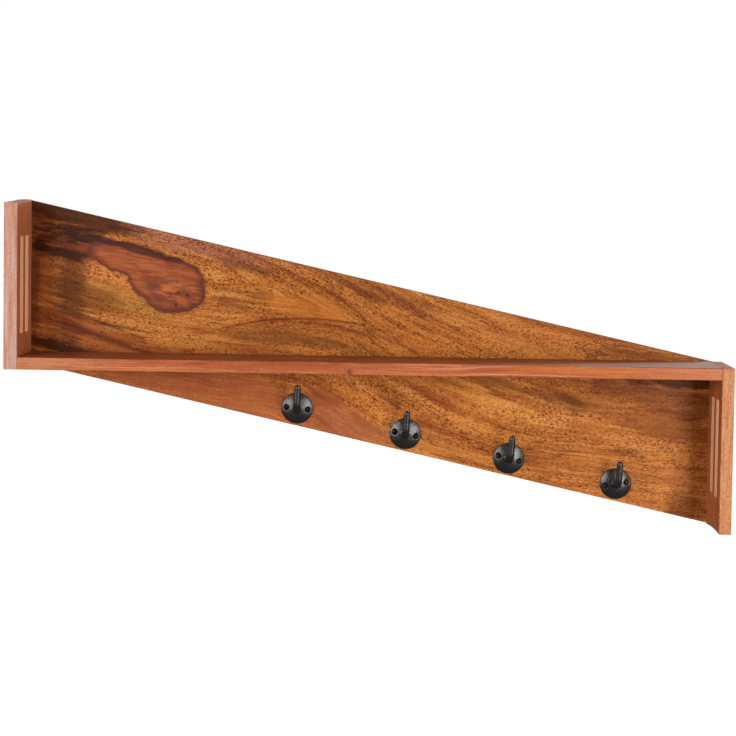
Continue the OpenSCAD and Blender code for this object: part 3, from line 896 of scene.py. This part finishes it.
def add_hook(node, material):
    """The casting: its sharp joins are rounded, and its surface is slightly uneven."""
    piece = add_piece("cast_" + node, merged_copy(node), material)
    remesh = piece.modifiers.new("remesh", "REMESH")
    remesh.mode = "VOXEL"
    remesh.voxel_size = CASTING_VOXEL
    remesh.use_smooth_shade = True
    smooth = piece.modifiers.new("smooth", "SMOOTH")
    smooth.factor = 0.5
    smooth.iterations = 5
    apply_modifiers(piece)
    normals = [vertex.normal.copy() for vertex in piece.data.vertices]
    for vertex, normal in zip(piece.data.vertices, normals):
        shake = sum(noise.noise(vertex.co * per_metre) * height for per_metre, height in CASTING_LUMPS)
        vertex.co += normal * shake * MM
    dress(piece, node)


def islands(node):
    """The separate solids of a node, each as its own bmesh, sorted by their least x and then z."""
    whole = merged_copy(node)
    whole.verts.index_update()
    left = set(whole.verts)
    found = []
    while left:
        seed = left.pop()
        group = {seed}
        ends = [seed]
        while ends:
            for link in ends.pop().link_edges:
                for vertex in link.verts:
                    if vertex in left:
                        left.discard(vertex)
                        group.add(vertex)
                        ends.append(vertex)
        keep = {v.index for v in group}
        part = whole.copy()
        part.verts.index_update()
        bmesh.ops.delete(part, geom=[v for v in part.verts if v.index not in keep], context="VERTS")
        found.append(part)
    whole.free()
    found.sort(key=lambda part: (round(min(v.co.x for v in part.verts), 4),
                                 round(min(v.co.z for v in part.verts), 4)))
    return found


def cross_cutter(centre, outward, arm, width, depth, turn):
    """A tapered cross that is pressed into a screw head at centre, from outside."""
    outline = []
    for quarter in range(4):
        rotation = Matrix.Rotation(math.radians(turn - 90 * quarter), 2)
        for point in ((width, width), (arm, width), (arm, -width)):
            outline.append(rotation @ Vector(point))
    bm = bmesh.new()
    bottom = [bm.verts.new((p.x * 0.5, p.y * 0.5, -depth)) for p in outline]
    top = [bm.verts.new((p.x * 1.5, p.y * 1.5, depth)) for p in outline]
    bm.faces.new(bottom)
    bm.faces.new(top)
    for a in range(len(outline)):
        b = (a + 1) % len(outline)
        bm.faces.new((bottom[a], bottom[b], top[b], top[a]))
    bmesh.ops.recalc_face_normals(bm, faces=bm.faces)
    towards_head = Vector(outward).to_track_quat("Z", "X").to_matrix().to_4x4()
    bm.transform(Matrix.Translation(centre) @ towards_head)
    mesh = bpy.data.meshes.new("cutter")
    bm.to_mesh(mesh)
    bm.free()
    cutter = bpy.data.objects.new("cutter", mesh)
    bpy.context.scene.collection.objects.link(cutter)
    return cutter


def add_screws(node, name, material, outward, arm, width, depth):
    """The node's screws. Each head has a cross recess, turned its own way. arm and width are half the
    length and half the width of the recess, and depth is how deep it goes, all in millimetres."""
    towards = Vector(outward)
    for count, bm in enumerate(islands(node), 1):
        top = max(v.co.dot(towards) for v in bm.verts)
        rim = [v.co for v in bm.verts if v.co.dot(towards) > top - RIM_DEPTH]
        middle = sum(rim, Vector()) / len(rim)
        centre = middle + towards * (top - middle.dot(towards))
        piece = add_piece(f"{name}_{count}", bm, material)
        turn = RECESS_START + RECESS_TURN * count
        cutter = cross_cutter(centre, outward, arm * MM, width * MM, depth * MM, turn)
        cut = piece.modifiers.new("cross", "BOOLEAN")
        cut.operation = "DIFFERENCE"
        cut.object = cutter
        cut.solver = "EXACT"
        apply_modifiers(piece)
        bpy.data.objects.remove(cutter)
        soften_edges(piece, SCREW_ROUNDING, segments=2, angle=SHARP_SCREW_ANGLE)
        apply_modifiers(piece)
        dress(piece, node)


def add_plate(node, material):
    piece = add_piece("pressed_" + node, merged_copy(node), material)
    soften_edges(piece, PLATE_ROUNDING, segments=2)
    apply_modifiers(piece)
    dress(piece, node)


# Studio

def shine(behind, above, strengths):
    return behind * strengths[0] + above * strengths[1] + strengths[2]


def add_world():
    """White to the camera. As light it is a soft fill, and in the gloss of the rack it is bright
    behind the rack and dim in front of it."""
    world = bpy.data.worlds.new("studio")
    bpy.context.scene.world = world
    world.use_nodes = True
    tree = world.node_tree
    background = tree.nodes["Background"]
    rays = tree.nodes.new("ShaderNodeLightPath")
    place = tree.nodes.new("ShaderNodeTexCoord")
    split = tree.nodes.new("ShaderNodeSeparateXYZ")
    tree.links.new(place.outputs["Generated"], split.inputs[0])
    behind = Term(tree, split.outputs[1]).step(-0.15, 0.25)
    above = Term(tree, split.outputs[2]).step(-0.2, 0.6)
    fill = shine(behind, above, FILL_STRENGTHS)
    mirrored = shine(behind, above, MIRRORED_STRENGTHS)
    camera = Term(tree, rays.outputs["Is Camera Ray"])
    glossy = Term(tree, rays.outputs["Is Glossy Ray"]).largest(
        Term(tree, rays.outputs["Is Transmission Ray"]))
    strength = camera + (1.0 - camera) * (glossy * mirrored + (1.0 - glossy) * fill)
    join(tree, strength, background.inputs["Strength"])
    background.inputs["Color"].default_value = (1, 1, 1, 1)


def add_floor():
    """A pale floor far below the rack, as under a rack at head height. It is nearly white to the
    camera, and entirely so far out, where it meets the backdrop. The gloss of the rack shows it dim."""
    bm = bmesh.new()
    bmesh.ops.create_circle(bm, cap_ends=True, radius=FLOOR_RADIUS, segments=96)
    bmesh.ops.translate(bm, verts=bm.verts, vec=(0, 0, FLOOR_HEIGHT))
    material = bpy.data.materials.new("pale_floor")
    material.use_nodes = True
    tree = material.node_tree
    shader = tree.nodes["Principled BSDF"]
    shader.inputs["Base Color"].default_value = (0.86, 0.86, 0.86, 1)
    shader.inputs["Roughness"].default_value = 0.9
    shader.inputs["Specular IOR Level"].default_value = 0.1
    white = tree.nodes.new("ShaderNodeEmission")
    rays = tree.nodes.new("ShaderNodeLightPath")
    mix = tree.nodes.new("ShaderNodeMixShader")
    place = tree.nodes.new("ShaderNodeTexCoord")
    length = tree.nodes.new("ShaderNodeVectorMath")
    length.operation = "LENGTH"
    tree.links.new(place.outputs["Object"], length.inputs[0])
    far_out = Term(tree, length.outputs["Value"]).step(NEARLY_WHITE_TO, WHITE_FROM)
    camera = Term(tree, rays.outputs["Is Camera Ray"])
    join(tree, camera * 1.06, white.inputs["Strength"])
    share = camera * (far_out * 0.1 + 0.9) + Term(tree, rays.outputs["Is Glossy Ray"]) * 0.85
    join(tree, share.smallest(1.0), mix.inputs[0])
    tree.links.new(shader.outputs[0], mix.inputs[1])
    tree.links.new(white.outputs[0], mix.inputs[2])
    tree.links.new(mix.outputs[0], tree.nodes["Material Output"].inputs[0])
    floor = add_piece("floor", bm, material)


def add_boards():
    shelf = board_wood(
        "shelf_wood", fibres_along="x", pith=(-60, 140), tones=SHELF_TONES,
        contrast=0.8, speckle=0.2, seed=20.0, faces=shelf_faces, gloss=0.3)
    # Shares of painted shade on the sides and of pale wood with painted light in the slot linings
    left_faces = upright_faces(
        "left_upright_front_slot", seen(206, 168, 154),
        side_shade_share=0.0, strip_share=0.6, front_pale_and_lit_share=0.75, rear_pale_and_lit_share=0.85)
    left = board_wood(
        "left_upright_wood", fibres_along="z", pith=(-160, -700), tones=UPRIGHT_TONES,
        contrast=0.4, speckle=0.22, seed=30.0, faces=left_faces, gloss=0.15)
    # Shares of painted shade on the sides and of pale wood with painted light in the slot linings
    right_faces = upright_faces(
        "right_upright_front_slot", seen(218, 152, 102),
        side_shade_share=0.3, strip_share=0.2, front_pale_and_lit_share=1.0, rear_pale_and_lit_share=0.8)
    right = board_wood(
        "right_upright_wood", fibres_along="z", pith=(-170, 700), tones=UPRIGHT_TONES,
        contrast=0.45, speckle=0.42, seed=40.0, faces=right_faces, gloss=0.15)
    add_board("shelf", shelf)
    add_board("left_upright", left)
    add_board("right_upright", right)


def add_fasteners(steel, zinc):
    add_screws("hook_screws", "hook_screw", steel, FORWARDS,
               arm=5.0, width=1.0, depth=1.6)
    add_screws("panel_screws", "panel_screw", zinc, BACKWARDS,
               arm=4.6, width=0.9, depth=1.6)
    add_screws("hanger_screws", "hanger_screw", zinc, BACKWARDS,
               arm=3.6, width=0.7, depth=1.2)
    add_plate("left_hanger_plate", zinc)
    add_plate("right_hanger_plate", zinc)


def main():
    bpy.context.scene.view_settings.view_transform = "Standard"
    add_camera()
    add_world()
    add_floor()
    for name, lamp in SOFTBOXES.items():
        add_softbox(name, *lamp)
    add_board("back_panel", panel_wood())
    add_boards()
    iron = black_iron()
    for number in range(1, 5):
        add_hook(f"hook_{number}", iron)
    add_fasteners(black_steel(), zinc_steel())
    dowels = frame["nodes"]["shelf_dowels"]
    dowels.data.materials.clear()
    dowels.data.materials.append(dowel_wood())


main()
